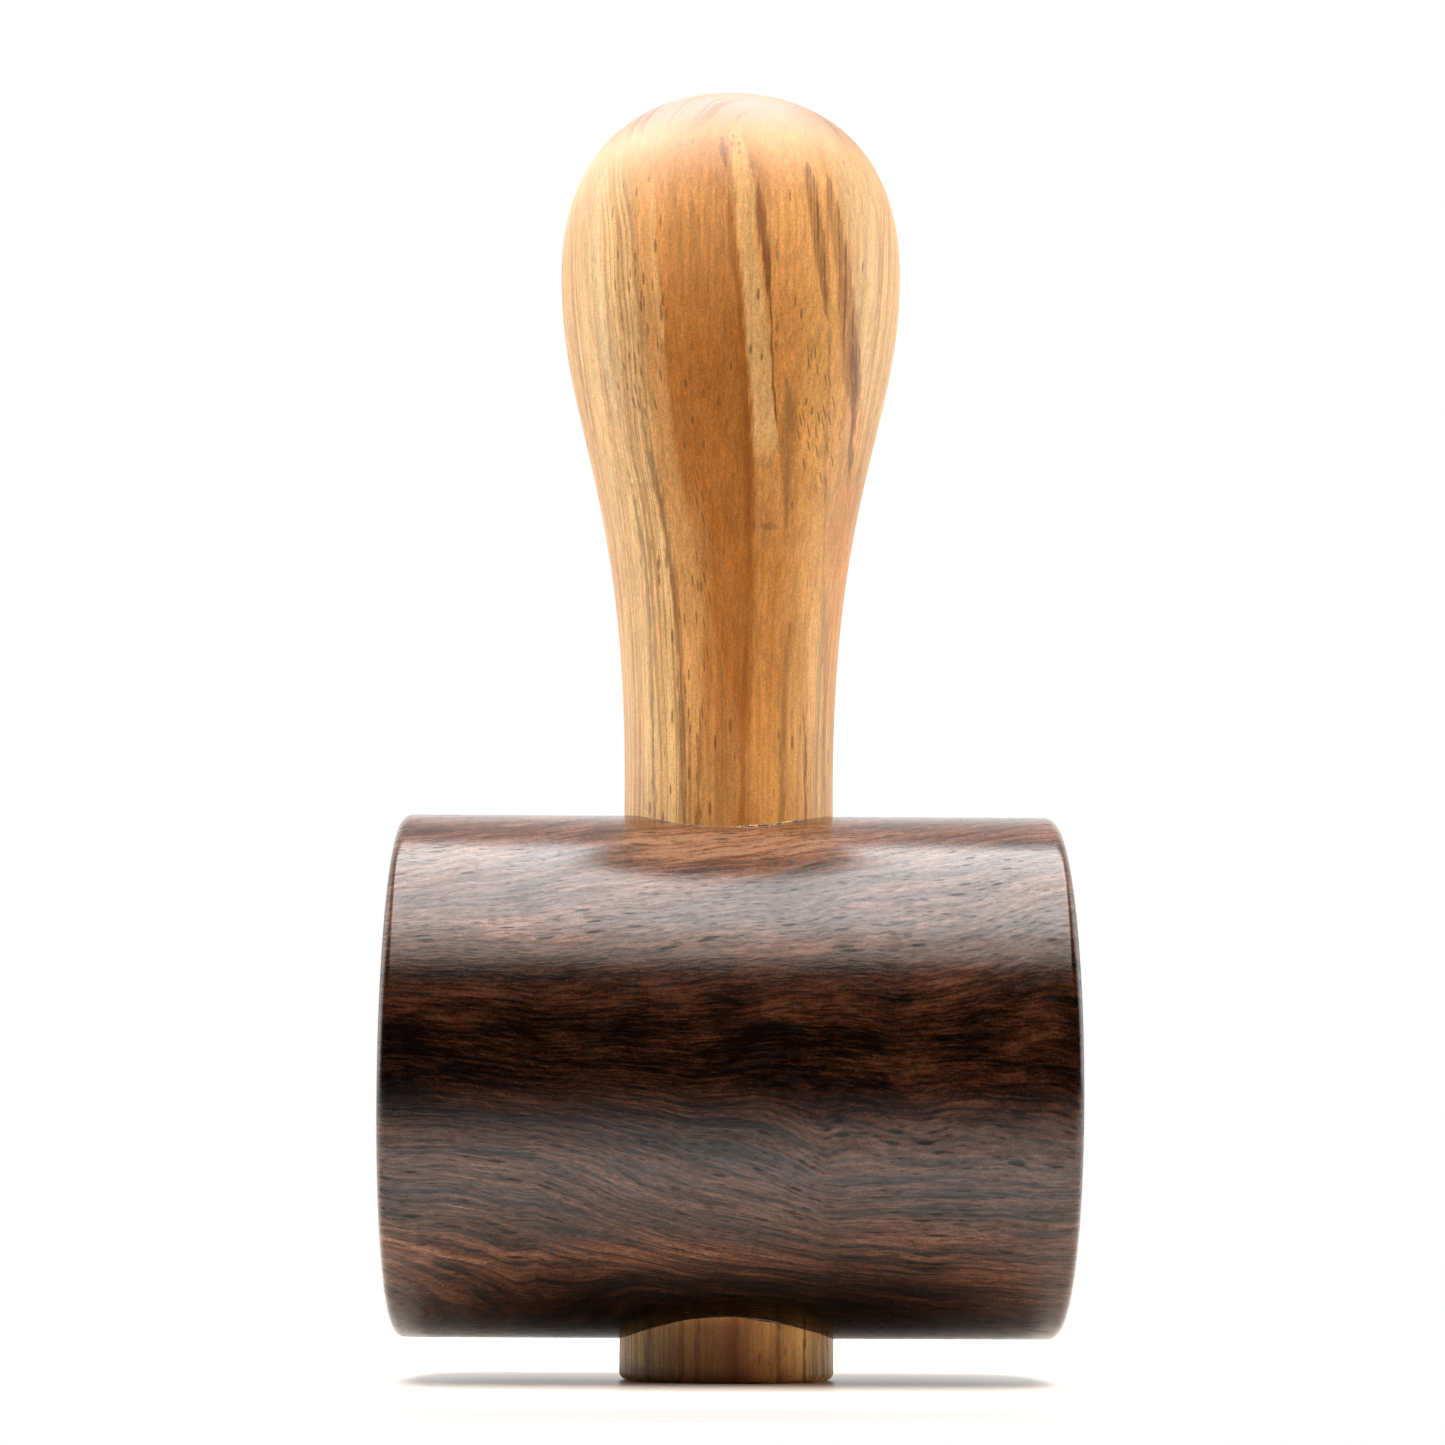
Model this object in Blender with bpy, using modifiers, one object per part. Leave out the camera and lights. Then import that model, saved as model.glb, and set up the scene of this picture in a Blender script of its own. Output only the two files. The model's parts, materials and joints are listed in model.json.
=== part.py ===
"""Turned wooden mallet: a round head bored across its grain, a one-piece handle whose tenon
runs right through the head, and the wedge that locks the tenon.

Metres, +Z up. The mallet stands on the end of its tenon, with the grip upwards. The origin is
the middle of that end, +Z runs up the handle and +X runs along the head.
"""

import math

import bmesh
import bpy
from mathutils import Vector
from mathutils.geometry import interpolate_bezier

# Driving dimensions
HEAD_DIAMETER = 0.078
HEAD_LENGTH = 0.0985
TENON_DIAMETER = 0.0318
STUB_LENGTH = 0.006
GRIP_LENGTH = 0.1138
KNOB_DIAMETER = 0.0531

# Round-overs: where the head's ends meet its barrel, and round the end of the tenon
HEAD_EDGE_RADIUS = 0.0018
STUB_EDGE_RADIUS = 0.0013

# The glue line between two pieces
FIT_GAP = 0.00025

# Heights, counted from the end of the tenon
HEAD_AXIS_HEIGHT = STUB_LENGTH + HEAD_DIAMETER / 2
HEAD_TOP_HEIGHT = STUB_LENGTH + HEAD_DIAMETER
TOP_HEIGHT = HEAD_TOP_HEIGHT + GRIP_LENGTH
KNOB_HEIGHT = TOP_HEIGHT - 0.0278
FLARE_START_HEIGHT = HEAD_TOP_HEIGHT + 0.0034

# How far the grip's outline is drawn along its tangent on each side of a knot
FLARE_PULL = 0.0485
FLANK_PULL = 0.0242
SHOULDER_PULL = 0.0184
CROWN_PULL = 0.0161

# The wedge, and the kerf sawn across the tenon to take it
WEDGE_LENGTH = 0.030
WEDGE_THICK_END = 0.0042
WEDGE_THIN_END = 0.0012
KERF_LENGTH = 0.034

# Fineness of the facets
HEAD_STEPS = 96
HANDLE_STEPS = 72
BORE_STEPS = 96
FILLET_STEPS = 5
FLANK_POINTS = 15
CROWN_POINTS = 13
SMOOTH_ANGLE = math.radians(35)
MERGE_DISTANCE = 0.00001
CUTTER_OVERSHOOT = 0.002

# Oiled finishes: linear colour, roughness
HEAD_FINISH = ((0.060, 0.026, 0.015), 0.36)
HANDLE_FINISH = ((0.560, 0.290, 0.105), 0.45)
WEDGE_FINISH = ((0.045, 0.020, 0.012), 0.50)


def clear_scene():
    for obj in list(bpy.data.objects):
        bpy.data.objects.remove(obj, do_unlink=True)


def new_collection(name):
    collection = bpy.data.collections.new(name)
    bpy.context.scene.collection.children.link(collection)
    return collection


def wood(name, finish):
    colour, roughness = finish
    material = bpy.data.materials.new(name)
    material.use_nodes = True
    shader = material.node_tree.nodes["Principled BSDF"]
    shader.inputs["Base Color"].default_value = (*colour, 1.0)
    shader.inputs["Roughness"].default_value = roughness
    shader.inputs["Metallic"].default_value = 0.0
    return material


def arc(centre, radius, start, end, steps):
    """Points (distance from axis, height) on an arc between two angles, both ends included."""
    points = []
    for i in range(steps + 1):
        angle = start + (end - start) * i / steps
        points.append((centre[0] + radius * math.cos(angle), centre[1] + radius * math.sin(angle)))
    return points


def bezier(knot_1, handle_1, handle_2, knot_2, count):
    """Points (distance from axis, height) on one cubic span, both knots included."""
    corners = [Vector((*corner, 0.0)) for corner in (knot_1, handle_1, handle_2, knot_2)]
    return [(point.x, point.y) for point in interpolate_bezier(*corners, count)]


def turned(name, profile, steps, collection):
    """A solid of revolution about local Z. The profile runs down the outside, axis to axis."""
    mesh = bpy.data.meshes.new(name)
    edges = [(i, i + 1) for i in range(len(profile) - 1)]
    mesh.from_pydata([(radius, 0.0, height) for radius, height in profile], edges, [])
    obj = bpy.data.objects.new(name, mesh)
    collection.objects.link(obj)
    lathe = obj.modifiers.new("Lathe", "SCREW")
    lathe.axis = "Z"
    lathe.angle = 2 * math.pi
    lathe.steps = steps
    lathe.render_steps = steps
    lathe.use_merge_vertices = True
    lathe.merge_threshold = MERGE_DISTANCE
    return obj


def as_cutter(obj):
    obj.hide_render = True
    obj.display_type = "WIRE"
    return obj


def boolean(obj, operation, other):
    modifier = obj.modifiers.new(operation.title(), "BOOLEAN")
    modifier.operation = operation
    modifier.object = other


def evaluated_mesh(obj):
    bpy.context.view_layer.update()
    graph = bpy.context.evaluated_depsgraph_get()
    mesh = bpy.data.meshes.new_from_object(obj.evaluated_get(graph))
    mesh.name = obj.name
    return mesh


def finish(obj, material):
    """Applies the modifiers, shades round faces smooth and gives the piece its material."""
    mesh = evaluated_mesh(obj)
    mesh.shade_smooth()
    mesh.set_sharp_from_angle(angle=SMOOTH_ANGLE)
    mesh.materials.clear()
    mesh.materials.append(material)
    obj.modifiers.clear()
    obj.data = mesh


def head_profile():
    """Half of the barrel's section: end face, round-over, side, round-over, end face."""
    rim = HEAD_DIAMETER / 2 - HEAD_EDGE_RADIUS
    shoulder = HEAD_LENGTH / 2 - HEAD_EDGE_RADIUS
    upper = arc((rim, shoulder), HEAD_EDGE_RADIUS, math.pi / 2, 0.0, FILLET_STEPS)
    lower = arc((rim, -shoulder), HEAD_EDGE_RADIUS, 0.0, -math.pi / 2, FILLET_STEPS)
    return [(0.0, HEAD_LENGTH / 2), *upper, *lower, (0.0, -HEAD_LENGTH / 2)]


def handle_profile():
    """The turned outline from the crown of the knob down to the middle of the tenon's end."""
    knob = KNOB_DIAMETER / 2
    tenon = TENON_DIAMETER / 2
    crown = bezier(
        (0.0, TOP_HEIGHT),
        (CROWN_PULL, TOP_HEIGHT),
        (knob, KNOB_HEIGHT + SHOULDER_PULL),
        (knob, KNOB_HEIGHT),
        CROWN_POINTS,
    )
    flank = bezier(
        (knob, KNOB_HEIGHT),
        (knob, KNOB_HEIGHT - FLANK_PULL),
        (tenon, FLARE_START_HEIGHT + FLARE_PULL),
        (tenon, FLARE_START_HEIGHT),
        FLANK_POINTS,
    )
    rim = (tenon - STUB_EDGE_RADIUS, STUB_EDGE_RADIUS)
    foot = arc(rim, STUB_EDGE_RADIUS, 0.0, -math.pi / 2, FILLET_STEPS)
    return [*crown, *flank[1:], *foot, (0.0, 0.0)]


def bore_cutter(collection):
    bpy.ops.mesh.primitive_cylinder_add(
        vertices=BORE_STEPS,
        radius=TENON_DIAMETER / 2 + FIT_GAP,
        depth=HEAD_DIAMETER + 2 * CUTTER_OVERSHOOT,
        location=(0.0, 0.0, HEAD_AXIS_HEIGHT),
    )
    cutter = bpy.context.object
    cutter.name = "bore_cutter"
    for old in list(cutter.users_collection):
        old.objects.unlink(cutter)
    collection.objects.link(cutter)
    return as_cutter(cutter)


def taper_outline(length, allowance):
    """The wedge's section, seen along X: (across, height) corners. The allowance is added to
    both flanks, and the thick end runs on past the end of the tenon."""
    slope = (WEDGE_THICK_END - WEDGE_THIN_END) / 2 / WEDGE_LENGTH
    corners = []
    for height in (-CUTTER_OVERSHOOT, length):
        half = WEDGE_THICK_END / 2 - slope * height + allowance
        corners += [(-half, height), (half, height)]
    return [corners[0], corners[1], corners[3], corners[2]]


def taper(name, length, allowance, collection):
    """A tapered bar that runs along X, right across the tenon."""
    curve = bpy.data.curves.new(name, "CURVE")
    curve.dimensions = "2D"
    curve.fill_mode = "BOTH"
    curve.extrude = TENON_DIAMETER / 2 + CUTTER_OVERSHOOT
    corners = taper_outline(length, allowance)
    spline = curve.splines.new("POLY")
    spline.points.add(len(corners) - 1)
    for point, (across, height) in zip(spline.points, corners):
        point.co = (across, height, 0.0, 1.0)
    spline.use_cyclic_u = True
    outline = bpy.data.objects.new(name + "_outline", curve)
    collection.objects.link(outline)
    # The outline lies in the XY plane. This stands it in the YZ plane, so it extrudes along X.
    outline.rotation_euler = (math.pi / 2, 0.0, math.pi / 2)
    return as_solid(outline, name, collection)


def as_solid(outline, name, collection):
    """Replaces an extruded curve by a mesh in the same place, with its caps welded on."""
    mesh = evaluated_mesh(outline)
    work = bmesh.new()
    work.from_mesh(mesh)
    bmesh.ops.remove_doubles(work, verts=work.verts, dist=MERGE_DISTANCE)
    bmesh.ops.recalc_face_normals(work, faces=work.faces)
    work.to_mesh(mesh)
    work.free()
    solid = bpy.data.objects.new(name, mesh)
    collection.objects.link(solid)
    solid.matrix_world = outline.matrix_world
    bpy.data.objects.remove(outline, do_unlink=True)
    return solid


def make_head(parts, cutters):
    head = turned("head", head_profile(), HEAD_STEPS, parts)
    head.location = (0.0, 0.0, HEAD_AXIS_HEIGHT)
    head.rotation_euler = (0.0, math.pi / 2, 0.0)
    boolean(head, "DIFFERENCE", bore_cutter(cutters))
    finish(head, wood("head_wood", HEAD_FINISH))


def make_handle(parts, cutters):
    handle = turned("handle", handle_profile(), HANDLE_STEPS, parts)
    kerf = as_cutter(taper("kerf_cutter", KERF_LENGTH, FIT_GAP, cutters))
    boolean(handle, "DIFFERENCE", kerf)
    finish(handle, wood("handle_wood", HANDLE_FINISH))


def make_wedge(parts, cutters):
    """The wedge is trimmed flush with the tenon, so the handle's own outline bounds it."""
    wedge = taper("wedge", WEDGE_LENGTH, 0.0, parts)
    envelope = as_cutter(turned("tenon_envelope", handle_profile(), HANDLE_STEPS, cutters))
    boolean(wedge, "INTERSECT", envelope)
    finish(wedge, wood("wedge_wood", WEDGE_FINISH))


def main():
    clear_scene()
    parts = new_collection("wooden_mallet")
    cutters = new_collection("cutters")
    make_head(parts, cutters)
    make_handle(parts, cutters)
    make_wedge(parts, cutters)


main()
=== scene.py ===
"""Looks of the turned wooden mallet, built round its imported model: the finely turned head,
handle and wedge, the glue that shows round the joint, their woods, and the studio.

Metres, +Z up. The mallet stands on the end of its tenon. +X runs along the head, and the
camera looks along +Y. Materials work in millimetres from the same origin.
"""

import json
import math
from types import SimpleNamespace

import bmesh
import bpy
from mathutils import Matrix, Vector
from mathutils.geometry import interpolate_bezier

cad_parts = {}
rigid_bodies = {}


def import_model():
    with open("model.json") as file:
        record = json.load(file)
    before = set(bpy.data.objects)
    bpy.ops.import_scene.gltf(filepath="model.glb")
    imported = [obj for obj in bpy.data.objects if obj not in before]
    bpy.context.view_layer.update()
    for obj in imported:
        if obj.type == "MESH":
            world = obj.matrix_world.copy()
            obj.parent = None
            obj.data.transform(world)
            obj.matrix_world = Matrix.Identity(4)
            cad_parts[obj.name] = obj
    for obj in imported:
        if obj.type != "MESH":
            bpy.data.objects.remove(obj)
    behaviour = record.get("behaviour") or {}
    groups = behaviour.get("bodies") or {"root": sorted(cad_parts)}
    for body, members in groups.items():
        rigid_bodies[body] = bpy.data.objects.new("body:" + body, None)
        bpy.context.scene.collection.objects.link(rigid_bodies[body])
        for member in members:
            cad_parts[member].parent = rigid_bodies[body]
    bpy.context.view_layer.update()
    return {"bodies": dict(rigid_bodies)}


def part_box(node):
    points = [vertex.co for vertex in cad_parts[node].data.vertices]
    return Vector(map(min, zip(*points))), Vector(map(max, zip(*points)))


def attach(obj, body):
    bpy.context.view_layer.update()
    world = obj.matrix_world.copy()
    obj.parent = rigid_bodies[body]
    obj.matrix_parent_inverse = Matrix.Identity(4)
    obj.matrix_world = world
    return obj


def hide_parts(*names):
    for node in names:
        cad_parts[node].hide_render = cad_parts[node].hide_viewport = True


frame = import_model()

BODY = next(iter(frame["bodies"]))

# ---------------------------------------------------------------- sizes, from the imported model

head_low, head_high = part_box("head")
handle_low, handle_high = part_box("handle")
wedge_low, wedge_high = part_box("wedge")

HEAD_LENGTH = head_high.x - head_low.x
HEAD_RADIUS = (head_high.z - head_low.z) / 2
HEAD_AXIS_HEIGHT = (head_high.z + head_low.z) / 2
TOP_HEIGHT = handle_high.z
KNOB_RADIUS = handle_high.x
TENON_RADIUS = wedge_high.x
WEDGE_LENGTH = wedge_high.z
WEDGE_THICK_END = wedge_high.y - wedge_low.y

# The turned outlines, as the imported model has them
HEAD_EDGE_RADIUS = 0.0018
STUB_EDGE_RADIUS = 0.0013
FIT_GAP = 0.00025
KNOB_HEIGHT = TOP_HEIGHT - 0.0278
FLARE_START_HEIGHT = head_high.z + 0.0034
FLARE_PULL = 0.0485
FLANK_PULL = 0.0242
SHOULDER_PULL = 0.0184
CROWN_PULL = 0.0161
WEDGE_THIN_END = 0.0012
KERF_LENGTH = 0.034

# The beads of glue: half their height, how far they sink into the head, half their width, and
# the angle round the tenon at which they bulge
GLUE_SIZE = 0.00012
GLUE_SINK = 0.00008
GLUE_WIDTH = FIT_GAP / 2 - 0.00001
GLUE_BULGE_ANGLE = math.radians(-65)

# Fineness
HEAD_STEPS = 256
HANDLE_STEPS = 224
FILLET_STEPS = 10
FLANK_POINTS = 64
CROWN_POINTS = 36
GLUE_STEPS = 240
GLUE_SIDES = 10
MERGE_DISTANCE = 0.000001
SMOOTH_ANGLE = math.radians(40)
CUTTER_OVERSHOOT = 0.002


# ---------------------------------------------------------------- shapes


def arc(centre, radius, start, end, steps):
    """Points (distance from axis, height) on an arc between two angles, both ends included."""
    points = []
    for i in range(steps + 1):
        angle = start + (end - start) * i / steps
        points.append((centre[0] + radius * math.cos(angle), centre[1] + radius * math.sin(angle)))
    return points


def bezier(knot_1, handle_1, handle_2, knot_2, count):
    """Points (distance from axis, height) on one cubic span, both knots included."""
    corners = [Vector((*corner, 0.0)) for corner in (knot_1, handle_1, handle_2, knot_2)]
    return [(point.x, point.y) for point in interpolate_bezier(*corners, count)]


def new_object(name, data):
    obj = bpy.data.objects.new(name, data)
    bpy.context.scene.collection.objects.link(obj)
    return obj


def turned(name, profile, steps):
    """A solid of revolution about Z. The profile runs down the outside, axis to axis."""
    mesh = bpy.data.meshes.new(name)
    edges = [(i, i + 1) for i in range(len(profile) - 1)]
    mesh.from_pydata([(radius, 0.0, height) for radius, height in profile], edges, [])
    obj = new_object(name, mesh)
    lathe = obj.modifiers.new("Lathe", "SCREW")
    lathe.axis = "Z"
    lathe.angle = 2 * math.pi
    lathe.steps = steps
    lathe.render_steps = steps
    lathe.use_merge_vertices = True
    lathe.merge_threshold = MERGE_DISTANCE
    return obj


def settle(obj, matrix=None):
    """Applies the modifiers, and moves the mesh into the frame's own coordinates."""
    bpy.context.view_layer.update()
    graph = bpy.context.evaluated_depsgraph_get()
    mesh = bpy.data.meshes.new_from_object(obj.evaluated_get(graph))
    mesh.name = obj.name
    if matrix is not None:
        mesh.transform(matrix)
    mesh.shade_smooth()
    mesh.set_sharp_from_angle(angle=SMOOTH_ANGLE)
    obj.modifiers.clear()
    obj.data = mesh
    return obj


def boolean(obj, operation, other):
    """Cuts with another object, and uses that object up."""
    modifier = obj.modifiers.new(operation.title(), "BOOLEAN")
    modifier.operation = operation
    modifier.object = other
    settle(obj)
    bpy.data.objects.remove(other, do_unlink=True)


def head_profile():
    """Half of the barrel's section: end face, round-over, side, round-over, end face."""
    rim = HEAD_RADIUS - HEAD_EDGE_RADIUS
    shoulder = HEAD_LENGTH / 2 - HEAD_EDGE_RADIUS
    upper = arc((rim, shoulder), HEAD_EDGE_RADIUS, math.pi / 2, 0.0, FILLET_STEPS)
    lower = arc((rim, -shoulder), HEAD_EDGE_RADIUS, 0.0, -math.pi / 2, FILLET_STEPS)
    return [(0.0, HEAD_LENGTH / 2), *upper, *lower, (0.0, -HEAD_LENGTH / 2)]


def handle_profile():
    """The turned outline from the crown of the knob down to the middle of the tenon's end."""
    crown = bezier(
        (0.0, TOP_HEIGHT),
        (CROWN_PULL, TOP_HEIGHT),
        (KNOB_RADIUS, KNOB_HEIGHT + SHOULDER_PULL),
        (KNOB_RADIUS, KNOB_HEIGHT),
        CROWN_POINTS,
    )
    flank = bezier(
        (KNOB_RADIUS, KNOB_HEIGHT),
        (KNOB_RADIUS, KNOB_HEIGHT - FLANK_PULL),
        (TENON_RADIUS, FLARE_START_HEIGHT + FLARE_PULL),
        (TENON_RADIUS, FLARE_START_HEIGHT),
        FLANK_POINTS,
    )
    rim = (TENON_RADIUS - STUB_EDGE_RADIUS, STUB_EDGE_RADIUS)
    foot = arc(rim, STUB_EDGE_RADIUS, 0.0, -math.pi / 2, FILLET_STEPS)
    return [*crown, *flank[1:], *foot, (0.0, 0.0)]


def make_head():
    """The barrel, laid along X, with the bore cut through it."""
    to_axis = Matrix.Translation((0.0, 0.0, HEAD_AXIS_HEIGHT))
    head = turned("head_turning", head_profile(), HEAD_STEPS)
    settle(head, to_axis @ Matrix.Rotation(math.pi / 2, 4, "Y"))
    reach = HEAD_RADIUS + CUTTER_OVERSHOOT
    bore = TENON_RADIUS + FIT_GAP
    outline = [(0.0, reach), (bore, reach), (bore, -reach), (0.0, -reach)]
    cutter = settle(turned("bore_cutter", outline, HEAD_STEPS), to_axis)
    boolean(head, "DIFFERENCE", cutter)
    return head


def taper(name, length, allowance):
    """A tapered bar along X, thick end down. The allowance is added to both flanks."""
    slope = (WEDGE_THICK_END - WEDGE_THIN_END) / 2 / WEDGE_LENGTH
    reach = TENON_RADIUS + CUTTER_OVERSHOOT
    mesh = bpy.data.meshes.new(name)
    work = bmesh.new()
    bmesh.ops.create_cube(work, size=1.0)
    for vertex in work.verts:
        height = length if vertex.co.z > 0 else -CUTTER_OVERSHOOT
        half = WEDGE_THICK_END / 2 - slope * height + allowance
        vertex.co = (2 * vertex.co.x * reach, 2 * vertex.co.y * half, height)
    work.to_mesh(mesh)
    work.free()
    return new_object(name, mesh)


def make_handle():
    handle = settle(turned("handle_turning", handle_profile(), HANDLE_STEPS))
    boolean(handle, "DIFFERENCE", taper("kerf_cutter", KERF_LENGTH, FIT_GAP))
    return handle


def make_wedge():
    """The wedge is trimmed flush with the tenon, so the handle's own outline bounds it."""
    wedge = taper("wedge_slip", WEDGE_LENGTH, 0.0)
    envelope = settle(turned("tenon_envelope", handle_profile(), HANDLE_STEPS))
    boolean(wedge, "INTERSECT", envelope)
    return wedge


def glue_section(turn, side):
    """Points round the bead's section, at one angle round the tenon."""
    swell = 1.0 + 0.35 * math.sin(5 * turn + 1.3) + 0.25 * math.sin(13 * turn + side)
    bulge = max(0.0, math.cos(turn - GLUE_BULGE_ANGLE)) ** 8
    size = GLUE_SIZE * swell * (1.0 + bulge)
    radius = TENON_RADIUS + FIT_GAP / 2
    across = radius * math.sin(turn)
    saddle = math.sqrt(HEAD_RADIUS**2 - across**2) - GLUE_SINK
    points = []
    for j in range(GLUE_SIDES):
        angle = 2 * math.pi * j / GLUE_SIDES
        distance = radius + GLUE_WIDTH * math.cos(angle)
        height = HEAD_AXIS_HEIGHT + side * (saddle + size * math.sin(angle))
        points.append((distance * math.cos(turn), distance * math.sin(turn), height))
    return points


def make_glue(name, side):
    """The bead of glue squeezed out round the tenon, above (side 1) or below (side -1) the head.
    It follows the saddle where the bore meets the barrel, and swells and thins as it goes."""
    mesh = bpy.data.meshes.new(name)
    work = bmesh.new()
    rings = []
    for i in range(GLUE_STEPS):
        section = glue_section(2 * math.pi * i / GLUE_STEPS, side)
        rings.append([work.verts.new(point) for point in section])
    for here, there in zip(rings, rings[1:] + rings[:1]):
        for j in range(GLUE_SIDES):
            k = (j + 1) % GLUE_SIDES
            work.faces.new((here[j], there[j], there[k], here[k]))
    bmesh.ops.recalc_face_normals(work, faces=work.faces)
    work.to_mesh(mesh)
    work.free()
    mesh.shade_smooth()
    return new_object(name, mesh)


# ---------------------------------------------------------------- nodes

# The heights that a curve over the height covers run from 0 to this, in millimetres
TALL = 200.0


class Tree:
    """Builds the nodes of a material or a world. Most methods return an output socket."""

    def __init__(self, owner):
        owner.use_nodes = True
        self.material = owner
        self.tree = owner.node_tree
        self.shader = self.tree.nodes.get("Principled BSDF")

    def node(self, kind, **settings):
        made = self.tree.nodes.new(kind)
        for name, value in settings.items():
            setattr(made, name, value)
        return made

    def feed(self, socket, value):
        if isinstance(value, bpy.types.NodeSocket):
            self.tree.links.new(value, socket)
        elif value is not None:
            socket.default_value = value

    def node_out(self, kind, *values, **settings):
        """A node with these values in its first sockets, and all that it puts out."""
        made = self.node(kind, **settings)
        for socket, value in zip(made.inputs, values):
            self.feed(socket, value)
        return tuple(made.outputs)

    def finish(self, colour, roughness, relief, distance, strength):
        """Feeds the shader. The relief is in millimetres times distance."""
        self.feed(self.shader.inputs["Base Color"], colour)
        self.feed(self.shader.inputs["Roughness"], roughness)
        bump = self.node("ShaderNodeBump")
        bump.inputs["Strength"].default_value = strength
        bump.inputs["Distance"].default_value = distance
        self.feed(bump.inputs["Height"], relief)
        self.feed(self.shader.inputs["Normal"], bump.outputs["Normal"])
        return self.material

    def place(self):
        """Where a point is, in millimetres."""
        where = self.node("ShaderNodeTexCoord").outputs["Object"]
        made = self.node("ShaderNodeVectorMath", operation="SCALE")
        self.feed(made.inputs[0], where)
        self.feed(made.inputs["Scale"], 1000.0)
        return made.outputs["Vector"]

    def stretch(self, where, scales):
        return self.node_out("ShaderNodeVectorMath", where, scales, operation="MULTIPLY")[0]

    def distance(self, where):
        """How far a point is from the origin."""
        return self.node_out("ShaderNodeVectorMath", where, operation="LENGTH")[1]

    def math(self, operation, *values, clamp=False):
        return self.node_out("ShaderNodeMath", *values, operation=operation, use_clamp=clamp)[0]

    def affine(self, value, factor, offset):
        """The value times a factor, plus an offset."""
        return self.math("MULTIPLY_ADD", value, factor, offset)

    def product(self, *values):
        result = values[0]
        for value in values[1:]:
            result = self.math("MULTIPLY", result, value)
        return result

    def sum(self, *values):
        result = values[0]
        for value in values[1:]:
            result = self.math("ADD", result, value)
        return result

    def away(self, value, middle):
        """How far a value is from a middle, either way."""
        return self.math("ABSOLUTE", self.math("SUBTRACT", value, middle))

    def split(self, vector):
        return self.node_out("ShaderNodeSeparateXYZ", vector)

    def join(self, x, y, z):
        return self.node_out("ShaderNodeCombineXYZ", x, y, z)[0]

    def noise(self, where, scales, detail=2.0, roughness=0.5, distortion=0.0):
        """Cloudy noise from 0 to 1. Scales are features to the millimetre, along each axis."""
        made = self.node("ShaderNodeTexNoise")
        self.feed(made.inputs["Vector"], self.stretch(where, scales))
        made.inputs["Scale"].default_value = 1.0
        made.inputs["Detail"].default_value = detail
        made.inputs["Roughness"].default_value = roughness
        made.inputs["Distortion"].default_value = distortion
        return made.outputs["Fac"]

    def dashes(self, where, scales, size, share, dimensions="3D"):
        """1 inside small flecks, one to a cell, else 0. Scales are cells to the millimetre, size
        is a fleck's radius in cells, and share is how many of the cells have one."""
        made = self.node("ShaderNodeTexVoronoi", voronoi_dimensions=dimensions)
        self.feed(made.inputs["Vector"], self.stretch(where, scales))
        made.inputs["Scale"].default_value = 1.0
        chance = self.split(made.outputs["Color"])[0]
        fleck = self.step(made.outputs["Distance"], size * 0.6, size, 1.0, 0.0)
        return self.product(fleck, self.step(chance, 0.97 - share, 1.03 - share))

    def step(self, value, low, high, to_low=0.0, to_high=1.0):
        """A smooth step from to_low, where value is low, to to_high, where it is high."""
        limits = (value, low, high, to_low, to_high)
        settings = {"interpolation_type": "SMOOTHSTEP"}
        return self.node_out("ShaderNodeMapRange", *limits, **settings)[0]

    def spread(self, value, reach, to_low, to_high):
        """A smooth step for noise: its middle is at 0.5 and reach is half its width."""
        return self.step(value, 0.5 - reach, 0.5 + reach, to_low, to_high)

    def ramp(self, value, stops):
        """Colours by value. Each stop is (value from 0 to 1, (r, g, b))."""
        made = self.node("ShaderNodeValToRGB")
        elements = made.color_ramp.elements
        for extra in stops[2:]:
            elements.new(extra[0])
        for element, (position, colour) in zip(elements, stops):
            element.position = position
            element.color = (*colour, 1.0)
        self.feed(made.inputs[0], value)
        return made.outputs["Color"]

    def mix(self, share, a, b, blend="MIX"):
        """A colour between a and b."""
        made = self.node("ShaderNodeMix", data_type="RGBA", blend_type=blend)
        self.feed(made.inputs[0], share)
        for socket, value in zip(made.inputs[6:8], (a, b)):
            self.feed(socket, (*value, 1.0) if isinstance(value, tuple) else value)
        return made.outputs[2]

    def mix_value(self, share, a, b):
        """A number between a and b."""
        made = self.node("ShaderNodeMix", data_type="FLOAT")
        for socket, value in zip((made.inputs[0], made.inputs[2], made.inputs[3]), (share, a, b)):
            self.feed(socket, value)
        return made.outputs[0]

    def shade(self, colour, amount):
        """Darkens or lightens a colour. What it darkens gets warmer too, as oiled wood does."""
        green = self.math("POWER", amount, 1.12)
        blue = self.math("POWER", amount, 1.3)
        return self.mix(1.0, colour, self.join(amount, green, blue), "MULTIPLY")

    def grey(self, colour, amount):
        """Darkens or lightens a colour and keeps its hue."""
        return self.mix(1.0, colour, self.join(amount, amount, amount), "MULTIPLY")

    def curve(self, height, points, wide=60.0):
        """A value drawn smoothly through (height, value) points. It may run from -wide / 2 to
        wide / 2. Heights are in millimetres."""
        made = self.node("ShaderNodeFloatCurve")
        line = made.mapping.curves[0]
        spots = [(place / TALL, value / wide + 0.5) for place, value in sorted(points)]
        for _ in spots[2:]:
            line.points.new(0.5, 0.5)
        for point, spot in zip(line.points, spots):
            point.location = spot
        made.mapping.extend = "HORIZONTAL"
        made.mapping.update()
        self.feed(made.inputs["Value"], self.math("DIVIDE", height, TALL))
        return self.affine(made.outputs[0], wide, -wide / 2)

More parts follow.
